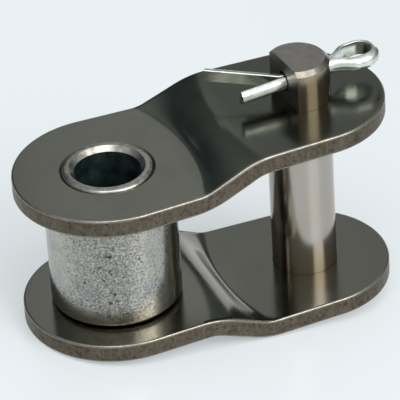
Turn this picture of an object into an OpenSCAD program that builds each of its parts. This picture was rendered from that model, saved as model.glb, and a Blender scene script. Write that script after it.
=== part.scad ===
// Offset link of a roller chain: one pitch long, cranked, with a slip-fit connecting pin.
// Two cranked plates are pressed on a bush at their near end. At their far end, one plate
// thickness further out, they carry the connecting pin. A roller turns on the bush, and a
// split cotter through the pin's flattened end keeps the pin in.
// The origin is on the bush axis, half way between the plates. +X points to the connecting pin.

/* [Chain] */
// Distance between the bush axis and the connecting pin axis
pitch = 15.875; // [14.5:0.005:20]
// Clear width between the plates at the bush end
inner_width = 9.9; // [6:0.1:14]

/* [Plates] */
// Thickness of each plate
plate_t = 1.5; // [1:0.05:2]
// Radius of the round end of a plate about the bush
bush_end_r = 7.3; // [6:0.02:9]
// Radius of the round end of a plate about the connecting pin
pin_end_r = 6.68; // [5:0.02:9]
// Side room between the far end of a plate and the near end of the next link's plate
side_room = 0.3; // [0.05:0.05:0.6]
// Slope of the crank on the plate's centre line, in degrees
crank_slope = 58; // [45:1:65]
// Inside radius of the crank's two bends on the centre line, from where they soften sideways
bend_r = 0.5; // [0.2:0.05:0.8]
// Share of the crank's straight slope, on the centre line, that the outside of each bend fades into
bend_fade = 0.8; // [0:0.05:0.9]
// Radius, seen from above, of the curved line that each bend follows
bend_line_r = 15.6; // [12:0.1:40]
// How far the middle of the crank lies from mid-pitch, towards the bush
crank_shift = 0.3; // [-0.5:0.05:0.8]

/* [Bush and roller] */
// Outer diameter of the bush, which is also the hole that it is pressed into
bush_d = 7.03; // [6.6:0.01:8]
// How far each end of the bush stands out of its plate
bush_proud = 0.17; // [0.05:0.01:0.4]
// Rounding of the bush's outer end edges
bush_round = 0.3; // [0.1:0.05:0.4]
// Width of the chamfer at each mouth of the bush's bore
bush_chamfer = 0.36; // [0.1:0.02:0.4]
// Room, all round, between the bush's bore and the next link's pin
bore_room = 0.025; // [0.01:0.005:0.06]
// Outer diameter of the roller
roller_d = 10.16; // [9:0.02:12]
// Room, all round, between the bush and the roller
roller_room = 0.05; // [0.02:0.005:0.1]
// Room between each end of the roller and its plate
roller_end_room = 0.1; // [0.05:0.01:0.3]
// Rounding of the roller's end edges
roller_round = 0.4; // [0.1:0.05:0.8]

/* [Connecting pin] */
// Diameter of the connecting pin
pin_d = 5.08; // [4:0.02:5.6]
// How far the cottered end of the pin stands out of its plate
pin_top = 3.45; // [3:0.01:5]
// How far the plain end of the pin stands out of its plate
pin_foot = 0.3; // [0.1:0.05:1]
// Chamfer on both ends of the pin
pin_chamfer = 0.35; // [0.1:0.05:0.4]
// Depth of the flat that makes the cottered end D-shaped
flat_depth = 1.4; // [0.8:0.02:1.6]
// Turn of the flat from square to the link, in degrees
pin_turn = 4; // [0:0.5:10]
// Room, all round, between the pin and its holes
pin_room = 0.02; // [0.01:0.005:0.06]

/* [Cotter] */
// Diameter of the cotter's two legs together
cotter_d = 1.25; // [1:0.05:1.6]
// Gap between the flats of the cotter's legs
leg_gap = 0.04; // [0.02:0.01:0.2]
// Least room between the tilted cotter and its hole in the pin
cotter_room = 0.05; // [0.05:0.05:0.25]
// Tilt of the cotter in its hole, eye upwards, in degrees
cotter_tilt = 2.5; // [0:0.5:4]
// Distance from the top of the pin to the cotter's axis
cotter_drop = 1.74; // [1.4:0.02:2.4]
// Inside radius of the cotter's eye
eye_r = 0.95; // [0.6:0.05:1.5]
// Length of the straight sides of the eye
eye_run = 0.6; // [0.1:0.05:2]
// Radius of the neck where the eye narrows into the legs
neck_r = 2.8; // [2:0.1:8]
// How far inside the pin's hole the neck starts
neck_inset = 0.2; // [0:0.05:0.3]
// Length of the short, straight leg past the pin's flat
short_leg = 3.8; // [1:0.1:6]
// Length of the long leg past its bend
long_leg = 5.55; // [2:0.05:8]
// Angle that the long leg is bent aside by, in degrees
leg_spread = 31; // [10:1:70]
// Radius of that bend, on the leg's flat side
leg_bend_r = 1; // [0.9:0.1:2]
// Twist of both legs about the cotter's axis, past the eye, in degrees
leg_twist = 18; // [0:1:30]

/* [Hidden] */
$fn = 96;
// Steps in each bend, strips across a plate, and steps along the cotter's neck, round its eye and
// over its half-round wire
bend_steps = 5;
sheet_strips = 24;
neck_steps = 6;
eye_steps = 16;
wire_steps = 12;
// How far the straight sides of a plate lie inside the tangents of its round ends
side_inset = 0.01;
// Spare length of a cutting shape past the faces that it cuts
over = 1;

bush_end_z = inner_width / 2;
crank_offset = plate_t + side_room;
pin_end_z = bush_end_z + crank_offset;
bend_reach = (bend_r + plate_t / 2) * tan(crank_slope / 2);
outside_reach = bend_reach + bend_fade * (crank_offset / sin(crank_slope) - 2 * bend_reach);
crank_x = pitch / 2 - crank_shift;
half_w = max(bush_end_r, pin_end_r);
bush_r = bush_d / 2;
bush_len = inner_width + 2 * (plate_t + bush_proud);
pin_r = pin_d / 2;
bush_bore_r = pin_r + bore_room;
roller_len = inner_width - 2 * roller_end_room;
pin_top_z = pin_end_z + plate_t + pin_top;
pin_foot_z = -(pin_end_z + plate_t + pin_foot);
flat_x = pin_r - flat_depth;
cotter_z = pin_top_z - cotter_drop;
cotter_r = cotter_d / 2;
cotter_hole_r = cotter_r + cotter_room + pin_r * sin(cotter_tilt);
neck_x = pin_r - neck_inset;
eye_x = neck_x + sqrt(eye_r ^ 2 + 2 * neck_r * eye_r);
eye_end_x = eye_x + eye_run;
neck_angle = atan2(eye_x - neck_x, neck_r);
leg_bend_x = -flat_x - cotter_room;

// Half of the crank's length along X, at a distance y from the plate's centre line
function half_run(y) =
    crank_offset / tan(crank_slope) / 2 + bend_line_r - sqrt(bend_line_r ^ 2 - y ^ 2);

// Lengthwise line of one face of a plate at a distance y from the centre line.
// side is 1 for the upper face and -1 for the lower face, half a thickness from the middle.
function face_line(y, side) =
    let (run = half_run(y))
    let (slope = atan2(crank_offset, 2 * run))
    let (near_reach = side > 0 ? bend_reach : outside_reach)
    let (far_reach = side > 0 ? outside_reach : bend_reach)
    let (near_r = near_reach / tan(slope / 2) - side * plate_t / 2)
    let (far_r = far_reach / tan(slope / 2) + side * plate_t / 2)
    let (near_z = side * plate_t / 2)
    let (far_z = near_z + crank_offset)
    concat(
        [[-bush_end_r - over, near_z]],
        [for (i = [0:bend_steps])
            let (turn = slope * i / bend_steps)
            [crank_x - run - near_reach + near_r * sin(turn), near_z + near_r * (1 - cos(turn))]],
        [for (i = [bend_steps:-1:0])
            let (turn = slope * i / bend_steps)
            [crank_x + run + far_reach - far_r * sin(turn), far_z - far_r * (1 - cos(turn))]],
        [[pitch + pin_end_r + over, far_z]]
    );

// Closed section of the plate: along the upper face and back along the lower one
function plate_section(y) =
    let (lower = face_line(y, -1))
    concat(face_line(y, 1), [for (i = [len(lower) - 1:-1:0]) lower[i]]);

// Sheet with the crank pressed into it, lofted from section to section across its width
module cranked_sheet() {
    reach = half_w + over;
    sections = [for (i = [0:sheet_strips])
        let (y = reach * (2 * i / sheet_strips - 1))
        [for (p = plate_section(y)) [p.x, y, p.y]]];
    loft(sections);
}

// Solid through a row of sections that have as many points each
module loft(sections) {
    last = len(sections) - 1;
    n = len(sections[0]);
    sides = [for (i = [0:last - 1], j = [0:n - 1], half = [0, 1])
        let (a = i * n + j)
        let (b = i * n + (j + 1) % n)
        half == 0 ? [a, a + n, b] : [b, a + n, b + n]];
    near_cap = [for (j = [0:n - 1]) j];
    far_cap = [for (j = [n - 1:-1:0]) last * n + j];
    polyhedron([for (s = sections, p = s) p], concat(sides, [near_cap, far_cap]));
}

// Prism of a plate's outline: round ends, with straight sides a hair inside their common tangents
module outline_prism(h) {
    lean = acos((bush_end_r - pin_end_r) / pitch);
    near = (bush_end_r - side_inset) * [cos(lean), sin(lean)];
    far = (pin_end_r - side_inset) * [cos(lean), sin(lean)] + [pitch, 0];
    union() {
        cylinder(h = h, r = bush_end_r);
        translate([pitch, 0, 0]) cylinder(h = h, r = pin_end_r);
        linear_extrude(h) polygon([near, far, [far.x, -far.y], [near.x, -near.y]]);
    }
}

// Blanked and cranked plate with its bush hole, standing on the plane of its near inner face
module cranked_plate() {
    difference() {
        intersection() {
            translate([0, 0, -over]) outline_prism(crank_offset + plate_t + 2 * over);
            translate([0, 0, plate_t / 2]) cranked_sheet();
        }
        translate([0, 0, -over]) cylinder(h = plate_t + 2 * over, r = bush_r);
    }
}

// Round hole or, with a flat, D-shaped hole for the connecting pin
module pin_hole(flat) {
    r = pin_r + pin_room;
    h = plate_t + 2 * over;
    translate([pitch, 0, crank_offset - over]) rotate(pin_turn) difference() {
        cylinder(h = h, r = r);
        if (flat) translate([-r - over, -r - over, -over])
            cube([r + over - flat_x - pin_room, 2 * (r + over), h + 2 * over]);
    }
}

module upper_link_plate() {
    color("#5b5a50") translate([0, 0, bush_end_z]) difference() {
        cranked_plate();
        pin_hole(true);
    }
}

module lower_link_plate() {
    color("#5b5a50") mirror([0, 0, 1]) translate([0, 0, bush_end_z]) difference() {
        cranked_plate();
        pin_hole(false);
    }
}

// Square corner with its outer edge rounded off, in the first quadrant
module rounded_end(w, h, r) {
    difference() {
        square([w, h]);
        translate([w - r, h - r]) difference() {
            square(r + over);
            circle(r);
        }
    }
}

module bush() {
    color("#b9b7b0") for (flip = [0, 1]) mirror([0, 0, flip]) rotate_extrude() difference() {
        rounded_end(bush_r, bush_len / 2, bush_round);
        square([bush_bore_r, bush_len / 2 + over]);
        translate([bush_bore_r, bush_len / 2]) rotate(45)
            square(bush_chamfer * sqrt(2), center = true);
    }
}

module roller() {
    bore_r = bush_r + roller_room;
    color("#a9a9a6") for (flip = [0, 1]) mirror([0, 0, flip]) rotate_extrude() difference() {
        rounded_end(roller_d / 2, roller_len / 2, roller_round);
        square([bore_r, roller_len / 2 + over]);
    }
}

// Pin turned from bar with a chamfer at each end, then flatted and cross-drilled at the top
module connecting_pin() {
    shoulder_z = pin_end_z - pin_room;
    end_r = pin_r - pin_chamfer;
    color("#8f8a84") translate([pitch, 0, 0]) rotate(pin_turn) difference() {
        rotate_extrude() polygon([
            [0, pin_foot_z], [end_r, pin_foot_z], [pin_r, pin_foot_z + pin_chamfer],
            [pin_r, pin_top_z - pin_chamfer], [end_r, pin_top_z], [0, pin_top_z]
        ]);
        translate([-pin_r - over, -pin_r - over, shoulder_z])
            cube([flat_depth + over, pin_d + 2 * over, pin_top_z - shoulder_z + over]);
        translate([-pin_r - over, 0, cotter_z]) rotate([0, 90, 0])
            cylinder(h = pin_d + 2 * over, r = cotter_hole_r);
    }
}

// Path of the cotter's parting line as [x, y, heading, twist], from the tip of the long leg, round
// the eye and back to the tip of the short leg. The wire lies on the left of its path.
cotter_path = concat(
    [[leg_bend_x - leg_bend_r * sin(leg_spread) - long_leg * cos(leg_spread),
        leg_bend_r * (1 - cos(leg_spread)) + long_leg * sin(leg_spread), -leg_spread, leg_twist]],
    [for (i = [bend_steps:-1:0])
        let (turn = leg_spread * i / bend_steps)
        [leg_bend_x - leg_bend_r * sin(turn), leg_bend_r * (1 - cos(turn)), -turn, leg_twist]],
    [for (i = [0:neck_steps])
        let (turn = neck_angle * i / neck_steps)
        [neck_x + neck_r * sin(turn), neck_r * (1 - cos(turn)), turn, 0]],
    [for (i = [1:neck_steps])
        let (turn = 90 + neck_angle * (1 - i / neck_steps))
        [eye_x + eye_r * cos(turn), eye_r * sin(turn), turn - 90, 0]],
    [for (i = [0:eye_steps])
        let (turn = 90 - 180 * i / eye_steps)
        [eye_end_x + eye_r * cos(turn), eye_r * sin(turn), turn - 90, 0]],
    [for (i = [0:neck_steps - 1])
        let (turn = -90 - neck_angle * i / neck_steps)
        [eye_x + eye_r * cos(turn), eye_r * sin(turn), turn - 90, 0]],
    [for (i = [neck_steps:-1:0])
        let (turn = neck_angle * i / neck_steps)
        [neck_x + neck_r * sin(turn), neck_r * (cos(turn) - 1), 180 - turn, 0]],
    [for (x = [leg_bend_x, -flat_x - short_leg]) [x, 0, 180, leg_twist]]
);

// Half-round section of the wire at one place on the path, turned about the cotter's axis
function wire_section(place) =
    let (half_arc = acos(leg_gap / cotter_d))
    let (heading = place[2])
    let (twist = place[3])
    [for (i = [0:wire_steps])
        let (a = half_arc * (2 * i / wire_steps - 1))
        let (x = place.x - cotter_r * cos(a) * sin(heading))
        let (y = place.y + cotter_r * cos(a) * cos(heading))
        let (z = cotter_r * sin(a))
        [x, y * cos(twist) - z * sin(twist), y * sin(twist) + z * cos(twist)]];

module cotter_pin() {
    color("#c3c8c2") translate([pitch, 0, cotter_z]) rotate(pin_turn) rotate([0, -cotter_tilt, 0])
        loft([for (place = cotter_path) wire_section(place)]);
}

upper_link_plate();
lower_link_plate();
bush();
roller();
connecting_pin();
cotter_pin();
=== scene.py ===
from math import acos, asin, atan2, cos, pi, radians, sin, sqrt, tan

import bmesh
import bpy
from bmesh.types import BMEdge, BMFace, BMVert
from mathutils import Matrix, Quaternion, Vector


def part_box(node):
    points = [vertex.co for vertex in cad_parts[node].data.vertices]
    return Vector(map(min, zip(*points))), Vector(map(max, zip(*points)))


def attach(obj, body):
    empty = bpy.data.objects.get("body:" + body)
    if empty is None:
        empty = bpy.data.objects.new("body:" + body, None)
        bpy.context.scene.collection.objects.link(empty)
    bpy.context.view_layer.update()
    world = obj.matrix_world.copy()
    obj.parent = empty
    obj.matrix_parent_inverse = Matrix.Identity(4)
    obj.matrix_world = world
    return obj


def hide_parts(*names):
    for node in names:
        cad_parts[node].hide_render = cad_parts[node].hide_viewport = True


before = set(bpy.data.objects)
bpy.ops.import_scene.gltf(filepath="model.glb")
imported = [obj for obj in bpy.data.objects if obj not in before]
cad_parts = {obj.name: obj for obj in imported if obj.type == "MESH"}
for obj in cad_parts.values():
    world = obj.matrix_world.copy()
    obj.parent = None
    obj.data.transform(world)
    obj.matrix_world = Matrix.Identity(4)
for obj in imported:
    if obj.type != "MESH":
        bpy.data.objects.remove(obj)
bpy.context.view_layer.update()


# Link plates
# Two plates blanked from medium-carbon steel strip, pierced for the bush and the pin, tumbled until
# their edges are blunt and then cranked in a press. The near ends are pressed onto the bush.
MM = 0.001

plate_low, plate_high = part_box("upper_link_plate")
_, bush_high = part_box("bush")
pin_low, pin_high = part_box("connecting_pin")
bush_r = bush_high.x
pin_r = (pin_high.x - pin_low.x) / 2
pitch = (pin_high.x + pin_low.x) / 2
pin_axis = Vector((pitch, 0, 0))
pin_flat = 1.14 * MM
pin_turn = radians(4)
pin_room = 0.02 * MM
plate_t = 1.5 * MM
plate_edge = 0.17 * MM
plate_edge_steps = 3
bush_end_r = -plate_low.x
pin_end_r = plate_high.x - pitch
side_lean = acos((bush_end_r - pin_end_r) / pitch)

# The crank: its rise and slope, how far its middle lies from mid pitch, the radius of its inside bends,
# the share of the slope that its outside bends take up, and the radius of the arcs that the bends
# follow across the plate.
crank_offset = plate_high.z - plate_low.z - plate_t
crank_slope = radians(58)
crank_shift = 0.3 * MM
crank_x = pitch / 2 - crank_shift
bend_r = 0.5 * MM
bend_fade = 0.8
bend_line_r = 15.6 * MM
bend_reach = (bend_r + plate_t / 2) * tan(crank_slope / 2)
outside_reach = bend_reach + bend_fade * (crank_offset / sin(crank_slope) - 2 * bend_reach)

# The mesh: a ring of faces round each hole and, from ring to ring, a web fine enough to be cranked.
# Each ring meets the web over eye_open to either side of the plate's centre line.
eye_sides = 96
eye_open = radians(60)
web_near = 4.3 * MM
web_far = 10.8 * MM
web_cuts = 44

# Places within a hair of each other are one place. The Z of its normal says if a face is upright or
# level, and an edge is a corner where its faces turn by more than square_corner.
hair = 0.001 * MM
upright = 0.1
level = 0.98
square_corner = radians(60)


def only(geom, kind):
    """The vertices, edges or faces among what an operator made."""
    return [item for item in geom if isinstance(item, kind)]


def edges_at(verts):
    """The edges that end at any of these vertices, each of them once."""
    return list(dict.fromkeys(edge for vert in verts for edge in vert.link_edges))


def blunt(bm, edges, size, steps):
    """Rounds edges off in a few steps, or chamfers them in one."""
    bmesh.ops.bevel(bm, geom=edges, offset=size, segments=steps, profile=0.5, affect="EDGES", material=-1)


def side_half_width(x):
    """Half the width of a plate's straight-sided middle at a distance x from the bush axis."""
    return (bush_end_r - x * cos(side_lean)) / sin(side_lean)


def pressed_height(x, y, side):
    """Height of a cranked plate's upper face, for side 1, or lower face, for side -1.

    Heights are measured from the middle of the plate's thickness at its near end.
    """
    run = crank_offset / tan(crank_slope) / 2 + bend_line_r - sqrt(bend_line_r ** 2 - y ** 2)
    slope = atan2(crank_offset, 2 * run)
    near_reach, far_reach = (bend_reach, outside_reach) if side > 0 else (outside_reach, bend_reach)
    near_r = near_reach / tan(slope / 2) - side * plate_t / 2
    far_r = far_reach / tan(slope / 2) + side * plate_t / 2
    near_x = crank_x - run - near_reach
    far_x = crank_x + run + far_reach
    near_z = side * plate_t / 2
    far_z = near_z + crank_offset
    if x <= near_x:
        return near_z
    if x >= far_x:
        return far_z
    if x - near_x <= near_r * sin(slope):
        return near_z + near_r - sqrt(near_r ** 2 - (x - near_x) ** 2)
    if far_x - x <= far_r * sin(slope):
        return far_z - far_r + sqrt(far_r ** 2 - (far_x - x) ** 2)
    return near_z + near_r * (1 - cos(slope)) + (x - near_x - near_r * sin(slope)) * tan(slope)


def plate_eye(bm, centre_x, towards, hole_r, end_r, web_x):
    """Flat ring round one hole, out to the plate's edge and, on the side named by towards, to the web.

    Returns the ring's edges along the web and the hole's vertices.
    """
    hole = bmesh.ops.create_circle(bm, segments=eye_sides, radius=hole_r)["verts"]
    outer = only(bmesh.ops.extrude_edge_only(bm, edges=edges_at(hole))["geom"], BMVert)
    web_half = side_half_width(web_x)
    lean = side_lean if towards > 0 else pi - side_lean
    half_step = pi / eye_sides
    for vert in outer:
        angle = atan2(vert.co.y, vert.co.x * towards)
        if abs(angle) < eye_open + half_step:
            vert.co = Vector((abs(web_x - centre_x) * towards, web_half * angle / eye_open, 0))
        else:
            reach = end_r / cos(lean - abs(angle)) if abs(angle) < lean else end_r
            vert.co = vert.co.normalized() * reach
    bmesh.ops.translate(bm, verts=hole + outer, vec=(centre_x, 0, 0))
    along_web = [edge for edge in edges_at(outer)
                 if all(abs(vert.co.x - web_x) < hair for vert in edge.verts)]
    return along_web, hole


skin_slot, edge_slot, rim_slot = range(3)


def pressed_plate(flat_hole):
    """One plate, as it stands on top of the link, with a D-shaped or a round hole for the pin."""
    bm = bmesh.new()
    near_edges, _ = plate_eye(bm, 0, 1, bush_r, bush_end_r, web_near)
    far_edges, pin_hole = plate_eye(bm, pitch, -1, pin_r + pin_room, pin_end_r, web_far)
    if flat_hole:
        turn = Matrix.Rotation(-pin_turn, 3, "Z")
        for vert in pin_hole:
            place = turn @ (vert.co - pin_axis)
            place.x = max(place.x, -pin_flat - pin_room)
            vert.co = turn.transposed() @ place + pin_axis
    bmesh.ops.bridge_loops(bm, edges=near_edges + far_edges)
    across_web = [edge for edge in bm.edges
                  if min(vert.co.x for vert in edge.verts) < web_near + hair
                  and max(vert.co.x for vert in edge.verts) > web_far - hair]
    bmesh.ops.subdivide_edges(bm, edges=across_web, cuts=web_cuts, use_grid_fill=True)
    bmesh.ops.translate(bm, verts=bm.verts, vec=(0, 0, -plate_t / 2))
    grown = bmesh.ops.extrude_face_region(bm, geom=bm.faces[:], use_keep_orig=True)["geom"]
    bmesh.ops.translate(bm, verts=only(grown, BMVert), vec=(0, 0, plate_t))
    bmesh.ops.recalc_face_normals(bm, faces=bm.faces)
    for face in bm.faces:
        face.material_index = edge_slot if abs(face.normal.z) < upright else skin_slot
    # The pin's hole stays sharp
    corners = [edge for edge in bm.edges if edge.calc_face_angle(0) > square_corner
               and (edge.verts[0].co - pin_axis).xy.length > pin_r + 2 * pin_room]
    blunt(bm, corners, plate_edge, plate_edge_steps)
    bm.normal_update()
    for face in bm.faces:
        middle = face.calc_center_median()
        from_holes = min(middle.xy.length - bush_r, (middle - pin_axis).xy.length - pin_r)
        if upright < abs(face.normal.z) < level and from_holes > plate_t:
            face.material_index = rim_slot
    # A sharp border keeps the shading of the bush hole's rounding off the flat round it
    for edge in bm.edges:
        at_bush = all(vert.co.xy.length < bush_r + 2 * plate_edge for vert in edge.verts)
        tilts = sorted(abs(face.normal.z) for face in edge.link_faces)
        edge.smooth = not (at_bush and tilts[0] < level < tilts[1])
    for vert in bm.verts:
        x, y, z = vert.co
        low = pressed_height(x, y, -1)
        high = pressed_height(x, y, 1)
        vert.co.z = plate_low.z + plate_t / 2 + low + (high - low) * (z / plate_t + 0.5)
    return bm


def new_object(name, bm):
    """An object at the origin with a finished bmesh as its mesh."""
    mesh = bpy.data.meshes.new(name)
    bm.to_mesh(mesh)
    bm.free()
    item = bpy.data.objects.new(name, mesh)
    bpy.context.collection.objects.link(item)
    return item


crease = radians(38)
large_face_weight = 80


def make_piece(name, bm, materials, body, node):
    """Turns a finished bmesh into the piece that stands for a CAD node and rides on its body."""
    bmesh.ops.recalc_face_normals(bm, faces=bm.faces)
    for face in bm.faces:
        face.smooth = True
    for edge in bm.edges:
        if edge.calc_face_angle(0) > crease:
            edge.smooth = False
    piece = new_object(name, bm)
    for material in materials:
        piece.data.materials.append(material)
    weighted = piece.modifiers.new("even faces", "WEIGHTED_NORMAL")
    weighted.keep_sharp = True
    weighted.weight = large_face_weight
    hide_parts(node)
    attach(piece, body)


def linear(hex_colour):
    """Linear RGBA of an sRGB hex colour."""
    parts = [int(hex_colour[i:i + 2], 16) / 255 for i in (1, 3, 5)]
    return [c / 12.92 if c <= 0.04045 else ((c + 0.055) / 1.055) ** 2.4 for c in parts] + [1]


def feed(node, inputs):
    """Links each input of a node to a socket, or sets it to a value."""
    for socket, value in inputs.items():
        if isinstance(value, bpy.types.NodeSocket):
            node.id_data.links.new(value, node.inputs[socket])
        else:
            node.inputs[socket].default_value = value


def add(tree, kind, inputs, **settings):
    """Adds a node, sets it up and feeds it."""
    node = tree.nodes.new(kind)
    for key, value in settings.items():
        setattr(node, key, value)
    feed(node, inputs)
    return node


def new_metal(name):
    """A metal with nothing on it yet: itself, its node tree, its shader and the object coordinates."""
    material = bpy.data.materials.new(name)
    material.use_nodes = True
    tree = material.node_tree
    shader = tree.nodes["Principled BSDF"]
    feed(shader, {"Metallic": 1})
    place = add(tree, "ShaderNodeTexCoord", {}).outputs["Object"]
    return material, tree, shader, place


# Heat-treated steel, tumbled and oiled: a dark olive skin with a soft gloss, cloudy where oil has
# dried and dulled by fine grit marks. Towards the far end, most of all on the upper plate, it is darkened
# with painted shade, which stands for the dark room that the far flats mirror.
olive_skin = linear("#76756d")
dried_oil = linear("#807f76")
far_shade_skin = linear("#55564f")
cloud_size = 2.6 * MM
grit_size = 0.16 * MM
grit_depth = 0.02 * MM
far_shade_start = 5 * MM
far_shade_end = 10.5 * MM
lower_plate_share = 0.4

plate_steel, tree, shader, place = new_metal("oiled heat-treated steel")
clouds = add(tree, "ShaderNodeTexNoise", {
    "Vector": place, "Scale": 1 / cloud_size, "Detail": 4, "Roughness": 0.6})
grit = add(tree, "ShaderNodeTexNoise", {
    "Vector": place, "Scale": 1 / grit_size, "Detail": 3, "Roughness": 0.7})
cloud_mix = add(tree, "ShaderNodeMapRange", {
    "Value": clouds.outputs["Fac"], "From Min": 0.3, "From Max": 0.7})
skin = add(tree, "ShaderNodeMix", {
    "Factor": cloud_mix.outputs["Result"], "A": olive_skin, "B": dried_oil}, data_type="RGBA")
spot = add(tree, "ShaderNodeSeparateXYZ", {"Vector": place})
# Painted shade: the far end is darkened towards a darker colour, less so on the lower plate.
far_mix = add(tree, "ShaderNodeMapRange", {
    "Value": spot.outputs["X"], "From Min": far_shade_start, "From Max": far_shade_end})
plate_mix = add(tree, "ShaderNodeMapRange", {
    "Value": spot.outputs["Z"], "From Max": plate_t, "To Min": lower_plate_share})
far_shade_mix = add(tree, "ShaderNodeMath", {
    0: far_mix.outputs["Result"], 1: plate_mix.outputs["Result"]}, operation="MULTIPLY")
far_shaded = add(tree, "ShaderNodeMix", {
    "Factor": far_shade_mix.outputs["Value"], "A": skin.outputs["Result"], "B": far_shade_skin}, data_type="RGBA")
gloss = add(tree, "ShaderNodeMapRange", {
    "Value": clouds.outputs["Fac"], "From Min": 0.3, "From Max": 0.7, "To Min": 0.14, "To Max": 0.22})
marks = add(tree, "ShaderNodeBump", {
    "Height": grit.outputs["Fac"], "Strength": 0.12, "Distance": grit_depth})
feed(shader, {
    "Base Color": far_shaded.outputs["Result"], "Roughness": gloss.outputs["Result"],
    "Normal": marks.outputs["Normal"]})

# The sheared edge of the same strip: dull brown-grey and grainy, faintly streaked by the die.
sheared_dark = linear("#544c41")
sheared_light = linear("#6e665a")
sheared_grain = linear("#433b31")
streak_size = 0.5 * MM
streak_stretch = 0.3
streak_depth = 0.04 * MM
grain_size = 0.3 * MM

sheared_edge, tree, shader, place = new_metal("sheared steel edge")
along = add(tree, "ShaderNodeMapping", {"Vector": place, "Scale": (1, 1, streak_stretch)})
streaks = add(tree, "ShaderNodeTexNoise", {
    "Vector": along.outputs["Vector"], "Scale": 1 / streak_size, "Detail": 5, "Roughness": 0.75})
grains = add(tree, "ShaderNodeTexNoise", {
    "Vector": place, "Scale": 1 / grain_size, "Detail": 3, "Roughness": 0.65})
streak_mix = add(tree, "ShaderNodeMapRange", {
    "Value": streaks.outputs["Fac"], "From Min": 0.3, "From Max": 0.7})
streaked = add(tree, "ShaderNodeMix", {
    "Factor": streak_mix.outputs["Result"], "A": sheared_dark, "B": sheared_light}, data_type="RGBA")
grain_mix = add(tree, "ShaderNodeMapRange", {
    "Value": grains.outputs["Fac"], "From Min": 0.5, "From Max": 0.68})
grained = add(tree, "ShaderNodeMix", {
    "Factor": grain_mix.outputs["Result"], "A": streaked.outputs["Result"], "B": sheared_grain},
    data_type="RGBA")
ridges = add(tree, "ShaderNodeBump", {
    "Height": streaks.outputs["Fac"], "Strength": 0.3, "Distance": streak_depth})
feed(shader, {
    "Base Color": grained.outputs["Result"], "Roughness": 0.42, "Normal": ridges.outputs["Normal"]})

# The blunted rim, burnished bright by tumbling, with small duller dents all along it.
burnished = linear("#908a80")
dent_grey = linear("#7e786e")
dent_size = 0.4 * MM

bright_rim, tree, shader, place = new_metal("burnished steel rim")
dents = add(tree, "ShaderNodeTexNoise", {
    "Vector": place, "Scale": 1 / dent_size, "Detail": 3, "Roughness": 0.6})
dent_mix = add(tree, "ShaderNodeMapRange", {
    "Value": dents.outputs["Fac"], "From Min": 0.35, "From Max": 0.65})
dented = add(tree, "ShaderNodeMix", {
    "Factor": dent_mix.outputs["Result"], "A": burnished, "B": dent_grey}, data_type="RGBA")
burnish = add(tree, "ShaderNodeMapRange", {
    "Value": dents.outputs["Fac"], "From Min": 0.35, "From Max": 0.65, "To Min": 0.21, "To Max": 0.31})
feed(shader, {"Base Color": dented.outputs["Result"], "Roughness": burnish.outputs["Result"]})

plate_finishes = [plate_steel, sheared_edge, bright_rim]
upper = pressed_plate(True)
make_piece("link_plate_upper", upper, plate_finishes, "link", "upper_link_plate")
lower = pressed_plate(False)
bmesh.ops.scale(lower, verts=lower.verts, vec=(1, 1, -1))
make_piece("link_plate_lower", lower, plate_finishes, "link", "lower_link_plate")


# Bush
# A plain tube of case-hardened steel, turned with rounded ends and a chamfered bore, and pressed
# into both plates. Its ends stand a little proud of them.
bore_room = 0.025 * MM
bush_bore_r = pin_r + bore_room
bush_round = 0.3 * MM
bush_chamfer = 0.36 * MM
ring_sides = 128
round_steps = 6


def turned_ring(inner_r, outer_r, half_length):
    """A plain ring about the Z axis, spun from its square section."""
    bm = bmesh.new()
    corners = [bm.verts.new((r, 0, z)) for r, z in (
        (inner_r, -half_length), (outer_r, -half_length), (outer_r, half_length), (inner_r, half_length))]
    for i in range(len(corners)):
        bm.edges.new((corners[i - 1], corners[i]))
    bmesh.ops.spin(bm, geom=bm.verts[:] + bm.edges[:], cent=(0, 0, 0), axis=(0, 0, 1), angle=2 * pi,
                   steps=ring_sides, use_merge=True)
    bmesh.ops.recalc_face_normals(bm, faces=bm.faces)
    return bm


def end_edges(bm, r, half_length):
    """The circular edges of radius r at both ends of a turned ring."""
    rims = {vert for vert in bm.verts
            if abs(vert.co.xy.length - r) < hair and abs(abs(vert.co.z) - half_length) < hair}
    return [edge for edge in bm.edges
            if rims.issuperset(edge.verts) and edge.verts[0].co.z * edge.verts[1].co.z > 0]


bush = turned_ring(bush_bore_r, bush_r, bush_high.z)
blunt(bush, end_edges(bush, bush_r, bush_high.z), bush_round, round_steps)
blunt(bush, end_edges(bush, bush_bore_r, bush_high.z), bush_chamfer, 1)

# Turned and hardened steel: bright, with a fine grain that dulls it in places.
turned_dark = linear("#8b8881")
turned_light = linear("#b4b1a8")
turned_size = 0.5 * MM

bush_steel, tree, shader, place = new_metal("turned case-hardened steel")
grain = add(tree, "ShaderNodeTexNoise", {
    "Vector": place, "Scale": 1 / turned_size, "Detail": 4, "Roughness": 0.6})
grain_mix = add(tree, "ShaderNodeMapRange", {
    "Value": grain.outputs["Fac"], "From Min": 0.35, "From Max": 0.7})
tone = add(tree, "ShaderNodeMix", {
    "Factor": grain_mix.outputs["Result"], "A": turned_dark, "B": turned_light}, data_type="RGBA")
dull = add(tree, "ShaderNodeMapRange", {"Value": grain.outputs["Fac"], "To Min": 0.14, "To Max": 0.34})
feed(shader, {"Base Color": tone.outputs["Result"], "Roughness": dull.outputs["Result"]})

# The unpolished bore, wet with oil and drawn almost black as painted shade inside the hole, with glossier
# patches where the oil has gathered.
thin_oil_shade = linear("#4b5e60")
thick_oil_shade = linear("#415456")
film_size = 1.2 * MM

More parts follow.
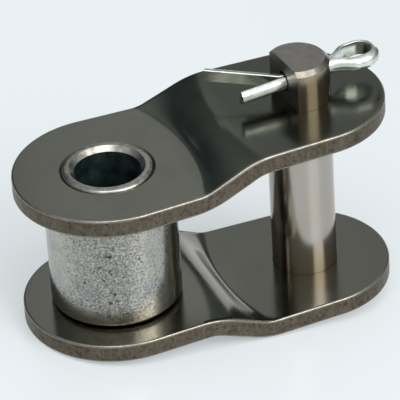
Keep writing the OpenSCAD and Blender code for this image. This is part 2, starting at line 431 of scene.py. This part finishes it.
oiled_shaded_bore, tree, shader, place = new_metal("oiled unpolished steel")
film = add(tree, "ShaderNodeTexNoise", {"Vector": place, "Scale": 1 / film_size, "Detail": 3})
film_mix = add(tree, "ShaderNodeMapRange", {
    "Value": film.outputs["Fac"], "From Min": 0.35, "From Max": 0.65})
filmed = add(tree, "ShaderNodeMix", {
    "Factor": film_mix.outputs["Result"], "A": thin_oil_shade, "B": thick_oil_shade}, data_type="RGBA")
wet = add(tree, "ShaderNodeMapRange", {
    "Value": film.outputs["Fac"], "From Min": 0.35, "From Max": 0.65, "To Min": 0.58, "To Max": 0.42})
feed(shader, {"Base Color": filmed.outputs["Result"], "Roughness": wet.outputs["Result"]})

outside_slot, bore_slot = range(2)
for face in bush.faces:
    in_bore = face.calc_center_median().xy.length < bush_bore_r + hair and abs(face.normal.z) < upright
    face.material_index = bore_slot if in_bore else outside_slot
make_piece("bush_tube", bush, [bush_steel, oiled_shaded_bore], "link", "bush")


# Roller
# A seamless ring of hardened steel that turns on the bush between the plates. Its end edges are
# rounded, and tumbling has left its skin light grey and pitted.
_, roller_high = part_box("roller")
roller_r = roller_high.x
roller_room = 0.05 * MM
roller_bore_r = bush_r + roller_room
roller_round = 0.4 * MM
roller_mouth = 0.1 * MM
mouth_steps = 2

roller = turned_ring(roller_bore_r, roller_r, roller_high.z)
blunt(roller, end_edges(roller, roller_r, roller_high.z), roller_round, round_steps)
blunt(roller, end_edges(roller, roller_bore_r, roller_high.z), roller_mouth, mouth_steps)

# Hardened steel, tumbled: light grey with a soft sheen, peppered with fine dark specks and a few
# larger pits. They crowd on the side that faces the camera, partly wear and partly painted shade for the
# darker floor that side mirrors. Towards its ends it is browned partly by oil and partly with painted
# shade and a painted reflection of the plates. The specks are drawn a little coarse, as finer ones would
# not show.
tumbled_grey = linear("#a1a1a0")
tumbled_warm = linear("#bab6aa")
speck_grey = linear("#72736d")
pit_black = linear("#3d4140")
oil_and_shade_brown = linear("#8a7a62")
mottle_size = 1.1 * MM
speck_size = 0.17 * MM
speck_depth = 0.03 * MM
pit_size = 0.55 * MM
wear_and_shade_angle = radians(-116)
wear_and_shade_start = 0.65 * roller_r
oil_and_shade_start = 0.7 * roller_high.z

roller_steel, tree, shader, place = new_metal("tumbled hardened steel")
mottle = add(tree, "ShaderNodeTexNoise", {
    "Vector": place, "Scale": 1 / mottle_size, "Detail": 5, "Roughness": 0.65})
specks = add(tree, "ShaderNodeTexNoise", {
    "Vector": place, "Scale": 1 / speck_size, "Detail": 3, "Roughness": 0.7})
pits = add(tree, "ShaderNodeTexNoise", {
    "Vector": place, "Scale": 1 / pit_size, "Detail": 3, "Roughness": 0.6})
# Painted shade: the specks and pits crowd on the side that faces the camera.
wear_and_shade_side = add(tree, "ShaderNodeVectorMath", {
    0: place, 1: (cos(wear_and_shade_angle), sin(wear_and_shade_angle), 0)}, operation="DOT_PRODUCT")
wear_and_shade = add(tree, "ShaderNodeMapRange", {
    "Value": wear_and_shade_side.outputs["Value"], "From Min": wear_and_shade_start, "From Max": roller_r})
mottle_mix = add(tree, "ShaderNodeMapRange", {
    "Value": mottle.outputs["Fac"], "From Min": 0.35, "From Max": 0.65})
mottled = add(tree, "ShaderNodeMix", {
    "Factor": mottle_mix.outputs["Result"], "A": tumbled_grey, "B": tumbled_warm}, data_type="RGBA")
speck_level = add(tree, "ShaderNodeMapRange", {
    "Value": wear_and_shade.outputs["Result"], "To Min": 0.53, "To Max": 0.38})
speck_height = add(tree, "ShaderNodeMath", {
    0: specks.outputs["Fac"], 1: speck_level.outputs["Result"]}, operation="SUBTRACT")
speck_mix = add(tree, "ShaderNodeMapRange", {"Value": speck_height.outputs["Value"], "From Max": 0.2})
specked = add(tree, "ShaderNodeMix", {
    "Factor": speck_mix.outputs["Result"], "A": mottled.outputs["Result"], "B": speck_grey},
    data_type="RGBA")
pit_level = add(tree, "ShaderNodeMapRange", {
    "Value": wear_and_shade.outputs["Result"], "To Min": 0.72, "To Max": 0.61})
pit_height = add(tree, "ShaderNodeMath", {
    0: pits.outputs["Fac"], 1: pit_level.outputs["Result"]}, operation="SUBTRACT")
pit_mix = add(tree, "ShaderNodeMapRange", {"Value": pit_height.outputs["Value"], "From Max": 0.05})
pitted = add(tree, "ShaderNodeMix", {
    "Factor": pit_mix.outputs["Result"], "A": specked.outputs["Result"], "B": pit_black}, data_type="RGBA")
sheen = add(tree, "ShaderNodeMapRange", {"Value": mottle.outputs["Fac"], "To Min": 0.1, "To Max": 0.2})
hollows = add(tree, "ShaderNodeBump", {
    "Height": speck_mix.outputs["Result"], "Strength": 0.2, "Distance": speck_depth}, invert=True)
spot = add(tree, "ShaderNodeSeparateXYZ", {"Vector": place})
# Painted shade and a painted reflection of the plates, with some oil, brown the ends.
from_middle = add(tree, "ShaderNodeMath", {0: spot.outputs["Z"]}, operation="ABSOLUTE")
oil_and_shade_mix = add(tree, "ShaderNodeMapRange", {
    "Value": from_middle.outputs["Value"], "From Min": oil_and_shade_start, "From Max": roller_high.z, "To Max": 0.5})
oiled_and_shaded = add(tree, "ShaderNodeMix", {
    "Factor": oil_and_shade_mix.outputs["Result"], "A": pitted.outputs["Result"], "B": oil_and_shade_brown}, data_type="RGBA")
feed(shader, {
    "Base Color": oiled_and_shaded.outputs["Result"], "Roughness": sheen.outputs["Result"],
    "Normal": hollows.outputs["Normal"]})
make_piece("roller_ring", roller, [roller_steel], "roller", "roller")


# Connecting pin
# A ground and hardened steel pin, a slip fit in the far ends of the plates. Its upper end is milled
# to a D that fills the upper plate's hole, and is drilled across for the cotter.
pin_chamfer = 0.35 * MM
pin_shoulder_z = plate_high.z - plate_t - pin_room
pin_sides = 128
pin_step = 2 * pi * pin_r / pin_sides
pin_place = Matrix.Translation(pin_axis) @ Matrix.Rotation(pin_turn, 4, "Z")
cotter_drop = 1.74 * MM
cotter_z = pin_high.z - cotter_drop
cotter_hole_r = 0.786 * MM
cotter_hole_sides = 48

pin = bmesh.new()
bmesh.ops.create_circle(pin, cap_ends=True, segments=pin_sides, radius=pin_r)
bmesh.ops.translate(pin, verts=pin.verts, vec=(0, 0, pin_low.z))
grown = bmesh.ops.extrude_face_region(pin, geom=pin.faces[:], use_keep_orig=True)["geom"]
bmesh.ops.translate(pin, verts=only(grown, BMVert), vec=(0, 0, pin_shoulder_z - pin_low.z))
shoulder = only(grown, BMFace)[0]
bmesh.ops.bisect_plane(pin, geom=[shoulder, *shoulder.edges, *shoulder.verts],
                       plane_co=(-pin_flat, 0, 0), plane_no=(1, 0, 0))
d_face = max((face for face in pin.faces if face.calc_center_median().z > pin_shoulder_z - hair),
             key=lambda face: face.calc_area())
grown = bmesh.ops.extrude_face_region(pin, geom=[d_face])["geom"]
bmesh.ops.translate(pin, verts=only(grown, BMVert), vec=(0, 0, pin_high.z - pin_shoulder_z))
bmesh.ops.delete(pin, geom=[d_face], context="FACES_ONLY")
bmesh.ops.recalc_face_normals(pin, faces=pin.faces)
# Both ends are chamfered. The chord of the D is far longer than a step of the circle, and stays sharp.
round_edges = []
for end_z in (pin_low.z, pin_high.z):
    end = {vert for vert in pin.verts if abs(vert.co.z - end_z) < hair}
    round_edges += [edge for edge in pin.edges
                    if end.issuperset(edge.verts) and edge.calc_length() < 2 * pin_step]
blunt(pin, round_edges, pin_chamfer, 1)
bmesh.ops.transform(pin, verts=pin.verts, matrix=pin_place)

drill = bmesh.new()
bmesh.ops.create_cone(drill, cap_ends=True, segments=cotter_hole_sides, radius1=cotter_hole_r,
                      radius2=cotter_hole_r, depth=4 * pin_r)
bmesh.ops.transform(drill, verts=drill.verts, matrix=Matrix.Translation((0, 0, cotter_z)) @ pin_place
                    @ Matrix.Rotation(pi / 2, 4, "Y"))
drill_bit = new_object("drill", drill)
blank = new_object("pin blank", pin)
drilled = blank.modifiers.new("cotter hole", "BOOLEAN")
drilled.object = drill_bit
drilled.operation = "DIFFERENCE"
drilled.solver = "EXACT"
pin = bmesh.new()
pin.from_object(blank, bpy.context.evaluated_depsgraph_get())
bpy.data.objects.remove(drill_bit)
bpy.data.objects.remove(blank)

# Ground and hardened steel: bright, with fine rings round it from the wheel, and a brown painted
# reflection of the plates that deepens towards them. The rings are drawn coarser than the wheel's, as those
# would not show.
ground_grey = linear("#aaa5a0")
ground_warm = linear("#aca295")
plate_reflection_brown = linear("#948673")
ring_size = 0.12 * MM
ring_stretch = 0.15
ring_depth = 0.01 * MM
tint_size = 3 * MM
plate_reflection_start = 3.5 * MM

pin_steel, tree, shader, place = new_metal("ground hardened steel")
stretch = add(tree, "ShaderNodeMapping", {"Vector": place, "Scale": (ring_stretch, ring_stretch, 1)})
rings = add(tree, "ShaderNodeTexNoise", {
    "Vector": stretch.outputs["Vector"], "Scale": 1 / ring_size, "Detail": 3})
tint = add(tree, "ShaderNodeTexNoise", {"Vector": place, "Scale": 1 / tint_size, "Detail": 2})
tint_mix = add(tree, "ShaderNodeMapRange", {
    "Value": tint.outputs["Fac"], "From Min": 0.35, "From Max": 0.65})
tinted = add(tree, "ShaderNodeMix", {
    "Factor": tint_mix.outputs["Result"], "A": ground_grey, "B": ground_warm}, data_type="RGBA")
spot = add(tree, "ShaderNodeSeparateXYZ", {"Vector": place})
from_middle = add(tree, "ShaderNodeMath", {0: spot.outputs["Z"]}, operation="ABSOLUTE")
# Painted reflection of the plates: the pin turns browner towards them.
plate_reflection_mix = add(tree, "ShaderNodeMapRange", {
    "Value": from_middle.outputs["Value"], "From Min": plate_reflection_start, "From Max": pin_shoulder_z})
plate_reflected = add(tree, "ShaderNodeMix", {
    "Factor": plate_reflection_mix.outputs["Result"], "A": tinted.outputs["Result"], "B": plate_reflection_brown}, data_type="RGBA")
polish = add(tree, "ShaderNodeMapRange", {"Value": rings.outputs["Fac"], "To Min": 0.12, "To Max": 0.22})
grind = add(tree, "ShaderNodeBump", {
    "Height": rings.outputs["Fac"], "Strength": 0.06, "Distance": ring_depth})
feed(shader, {
    "Base Color": plate_reflected.outputs["Result"], "Roughness": polish.outputs["Result"],
    "Normal": grind.outputs["Normal"]})

# The pin's ends, its flat and its cross hole, left as they came from hardening: brown-grey, dull and
# a little mottled.
scale_dark = linear("#8a847f")
scale_light = linear("#9b9590")
scale_size = 0.9 * MM

pin_end_skin, tree, shader, place = new_metal("hardened steel skin")
scale_noise = add(tree, "ShaderNodeTexNoise", {
    "Vector": place, "Scale": 1 / scale_size, "Detail": 4, "Roughness": 0.6})
scale_mix = add(tree, "ShaderNodeMapRange", {
    "Value": scale_noise.outputs["Fac"], "From Min": 0.35, "From Max": 0.65})
scaled = add(tree, "ShaderNodeMix", {
    "Factor": scale_mix.outputs["Result"], "A": scale_dark, "B": scale_light}, data_type="RGBA")
feed(shader, {"Base Color": scaled.outputs["Result"], "Roughness": 0.3})

# The chamfers are burnished as the rims of the plates are
ground_slot, end_slot, chamfer_slot = range(3)
for face in pin.faces:
    from_axis = (face.calc_center_median() - pin_axis).xy.length
    if abs(face.normal.z) > level or from_axis < pin_r - pin_chamfer:
        face.material_index = end_slot
    else:
        face.material_index = chamfer_slot if abs(face.normal.z) > upright else ground_slot
make_piece("connecting_pin_turned", pin, [pin_steel, pin_end_skin, bright_rim], "link", "connecting_pin")


# Split cotter
# One length of half-round steel wire, folded into an eye with its flats together, zinc plated and
# pushed through the pin. One leg stays straight and the other is bent aside.
cotter_r = 0.625 * MM
cotter_room = 0.05 * MM
cotter_tilt = radians(2.5)
leg_gap = 0.04 * MM
wire_sides = 40
wire_edge = 0.07 * MM
wire_edge_steps = 3
eye_r = 0.95 * MM
eye_run = 0.6 * MM
eye_steps = 20
neck_r = 2.8 * MM
neck_inset = 0.2 * MM
neck_steps = 10
neck_x = pin_r - neck_inset
eye_x = neck_x + sqrt(eye_r ** 2 + 2 * neck_r * eye_r)
eye_end_x = eye_x + eye_run
neck_angle = atan2(eye_x - neck_x, neck_r)
leg_bend_x = -pin_flat - cotter_room
leg_bend_r = 1 * MM
leg_bend_steps = 8
leg_spread = radians(31)
leg_twist = radians(18)
long_leg = 5.55 * MM
short_leg = 3.8 * MM

# The half-round section of the wire, at the crown of the eye
cotter = bmesh.new()
bmesh.ops.create_circle(cotter, cap_ends=True, segments=wire_sides, radius=cotter_r)
bmesh.ops.bisect_plane(cotter, geom=cotter.verts[:] + cotter.edges[:] + cotter.faces[:],
                       plane_co=(leg_gap / 2, 0, 0), plane_no=(1, 0, 0), clear_inner=True)
wire_corners = [vert for vert in cotter.verts if vert.co.x < leg_gap / 2 + hair]
bmesh.ops.bevel(cotter, geom=wire_corners, offset=wire_edge, segments=wire_edge_steps, profile=0.5,
                affect="VERTICES", material=-1)
bmesh.ops.delete(cotter, geom=cotter.faces[:], context="FACES_ONLY")
bmesh.ops.rotate(cotter, verts=cotter.verts, cent=(0, 0, 0), matrix=Matrix.Rotation(pi / 2, 3, "X"))
bmesh.ops.translate(cotter, verts=cotter.verts, vec=(eye_end_x + eye_r, 0, 0))
crown = cotter.verts[:] + cotter.edges[:]

# From the crown, each half goes round the eye, through the neck and the hole, and out into its leg
twist = Matrix.Rotation(leg_twist, 3, "X")
for side in (1, -1):
    wire = bmesh.ops.spin(cotter, geom=crown, cent=(eye_end_x, 0, 0), axis=(0, 0, 1),
                          angle=side * pi / 2, steps=eye_steps)["geom_last"]
    wire = bmesh.ops.extrude_edge_only(cotter, edges=only(wire, BMEdge))["geom"]
    bmesh.ops.translate(cotter, verts=only(wire, BMVert), vec=(-eye_run, 0, 0))
    wire = bmesh.ops.spin(cotter, geom=only(wire, (BMVert, BMEdge)), cent=(eye_x, 0, 0), axis=(0, 0, 1),
                          angle=side * neck_angle, steps=neck_steps)["geom_last"]
    wire = bmesh.ops.spin(cotter, geom=wire, cent=(neck_x, side * neck_r, 0), axis=(0, 0, 1),
                          angle=-side * neck_angle, steps=neck_steps)["geom_last"]
    wire = bmesh.ops.extrude_edge_only(cotter, edges=only(wire, BMEdge))["geom"]
    bmesh.ops.translate(cotter, verts=only(wire, BMVert), vec=(leg_bend_x - neck_x, 0, 0))
    bmesh.ops.rotate(cotter, verts=only(wire, BMVert), cent=(0, 0, 0), matrix=twist)
    if side > 0:
        wire = bmesh.ops.spin(cotter, geom=only(wire, (BMVert, BMEdge)), axis=twist @ Vector((0, 0, 1)),
                              cent=twist @ Vector((leg_bend_x, leg_bend_r, 0)), angle=-leg_spread,
                              steps=leg_bend_steps)["geom_last"]
        leg_run = twist @ Vector((-cos(leg_spread), sin(leg_spread), 0)) * long_leg
    else:
        leg_run = Vector((-leg_bend_x - pin_flat - short_leg, 0, 0))
    tip = bmesh.ops.extrude_edge_only(cotter, edges=only(wire, BMEdge))["geom"]
    bmesh.ops.translate(cotter, verts=only(tip, BMVert), vec=leg_run)
    bmesh.ops.contextual_create(cotter, geom=only(tip, BMEdge))
bmesh.ops.remove_doubles(cotter, verts=cotter.verts, dist=hair)
bmesh.ops.transform(cotter, verts=cotter.verts, matrix=Matrix.Translation((0, 0, cotter_z)) @ pin_place
                    @ Matrix.Rotation(-cotter_tilt, 4, "Y"))

# Drawn steel wire, zinc plated: bright and faintly green, with a bloom that dulls it in places.
zinc_green = linear("#c8cec4")
zinc_pale = linear("#e6e9e2")
bloom_size = 0.8 * MM

cotter_wire, tree, shader, place = new_metal("zinc-plated drawn wire")
bloom = add(tree, "ShaderNodeTexNoise", {"Vector": place, "Scale": 1 / bloom_size, "Detail": 4})
bloom_mix = add(tree, "ShaderNodeMapRange", {
    "Value": bloom.outputs["Fac"], "From Min": 0.35, "From Max": 0.65})
plated = add(tree, "ShaderNodeMix", {
    "Factor": bloom_mix.outputs["Result"], "A": zinc_green, "B": zinc_pale}, data_type="RGBA")
dulled = add(tree, "ShaderNodeMapRange", {"Value": bloom.outputs["Fac"], "To Min": 0.18, "To Max": 0.32})
feed(shader, {"Base Color": plated.outputs["Result"], "Roughness": dulled.outputs["Result"]})
make_piece("split_cotter", cotter, [cotter_wire], "link", "cotter_pin")


# Floor
# A plain sheet of pale card with a satin coat, which mirrors the soft boxes a little. The link lies
# on it as it comes to rest, on its near rim and on the outside bend of the lower plate.
floor_half = 1.5

# Seen from the side, the floor runs from the near rim and just touches the round of that bend, whose
# centre is measured from the rim.
rest_bend_r = outside_reach / tan(crank_slope / 2) + plate_t / 2
rest_bend = Vector((bush_end_r + crank_x + crank_offset / tan(crank_slope) / 2 + outside_reach,
                    crank_offset - rest_bend_r))
floor_slope = atan2(rest_bend.y, rest_bend.x) + asin(rest_bend_r / rest_bend.length)
near_rim = (-bush_end_r, 0, -plate_low.z - plate_t)

floor = bmesh.new()
bmesh.ops.create_grid(floor, x_segments=1, y_segments=1, size=floor_half)
bmesh.ops.transform(floor, verts=floor.verts,
                    matrix=Matrix.Translation(near_rim) @ Matrix.Rotation(floor_slope, 4, "Y"))
floor_sheet = new_object("floor", floor)
card = bpy.data.materials.new("pale coated card")
card.use_nodes = True
feed(card.node_tree.nodes["Principled BSDF"], {
    "Base Color": linear("#a9adaf"), "Roughness": 0.3,
    "Emission Color": linear("#e6ecee"), "Emission Strength": 0.47})
floor_sheet.data.materials.append(card)


# Light
# A pale studio that is brightest above the front and dim at the back, which is what the plates mirror.
# Two soft boxes in front give the rims, the pin and the roller their bright lines, and two behind
# give the plates' flats and the lower crank their sheen.
room_dim = linear("#4d595b")
room_bright = linear("#f8fbfd")
brightest = (0, -0.54, 0.84)

world = bpy.data.worlds.new("studio")
bpy.context.scene.world = world
world.use_nodes = True
tree = world.node_tree
outward = add(tree, "ShaderNodeTexCoord", {}).outputs["Generated"]
to_front = add(tree, "ShaderNodeVectorMath", {0: outward, 1: brightest}, operation="DOT_PRODUCT")
fade = add(tree, "ShaderNodeMapRange", {
    "Value": to_front.outputs["Value"], "From Min": -0.2, "From Max": 1}, interpolation_type="SMOOTHSTEP")
room = add(tree, "ShaderNodeMix", {
    "Factor": fade.outputs["Result"], "A": room_dim, "B": room_bright}, data_type="RGBA")
feed(tree.nodes["Background"], {"Color": room.outputs["Result"], "Strength": 1})


def heading(azimuth, elevation):
    """The direction at an azimuth from +X and an elevation above the plates' level, in degrees."""
    around = radians(azimuth)
    up = radians(elevation)
    return Vector((cos(around) * cos(up), sin(around) * cos(up), sin(up)))


# The soft boxes and the camera face one point, near the middle of the link. Each box has its azimuth
# and elevation in degrees, its width and height in metres, and its watts.
aim = Vector((8 * MM, 1.78 * MM, 0))
soft_box_distance = 0.5
for name, azimuth, elevation, width, height, watts in (
        ("back", 68.5, 28, 0.12, 0.46, 0.07),
        ("back right", 46, 6, 0.16, 0.2, 0.11),
        ("front right", -60, 36, 0.28, 0.22, 1.2),
        ("front", -105, 63, 0.36, 0.3, 0.85)):
    lamp = bpy.data.lights.new(name, "AREA")
    lamp.shape = "RECTANGLE"
    lamp.size = width
    lamp.size_y = height
    lamp.energy = watts
    towards = heading(azimuth, elevation)
    soft_box = bpy.data.objects.new(name, lamp)
    soft_box.location = aim + towards * soft_box_distance
    soft_box.rotation_euler = towards.to_track_quat("Z", "Y").to_euler()
    bpy.context.collection.objects.link(soft_box)


# Camera
# The photograph's view: from above and in front of the bush end, through a long lens, and rolled a
# little to one side.
view_azimuth = -110.9
view_elevation = 33.59
view_back = heading(view_azimuth, view_elevation)
view_roll = radians(-3.65)
view_distance = 255.44 * MM
view_lens = 295.7
sensor_width = 36

camera = bpy.data.cameras.new("camera")
camera.lens = view_lens
camera.sensor_width = sensor_width
camera.clip_start = 10 * MM
viewer = bpy.data.objects.new("camera", camera)
viewer.location = aim + view_back * view_distance
viewer.rotation_euler = (view_back.to_track_quat("Z", "Y") @ Quaternion((0, 0, 1), view_roll)).to_euler()
bpy.context.collection.objects.link(viewer)
bpy.context.scene.camera = viewer
bpy.context.scene.view_settings.view_transform = "Standard"
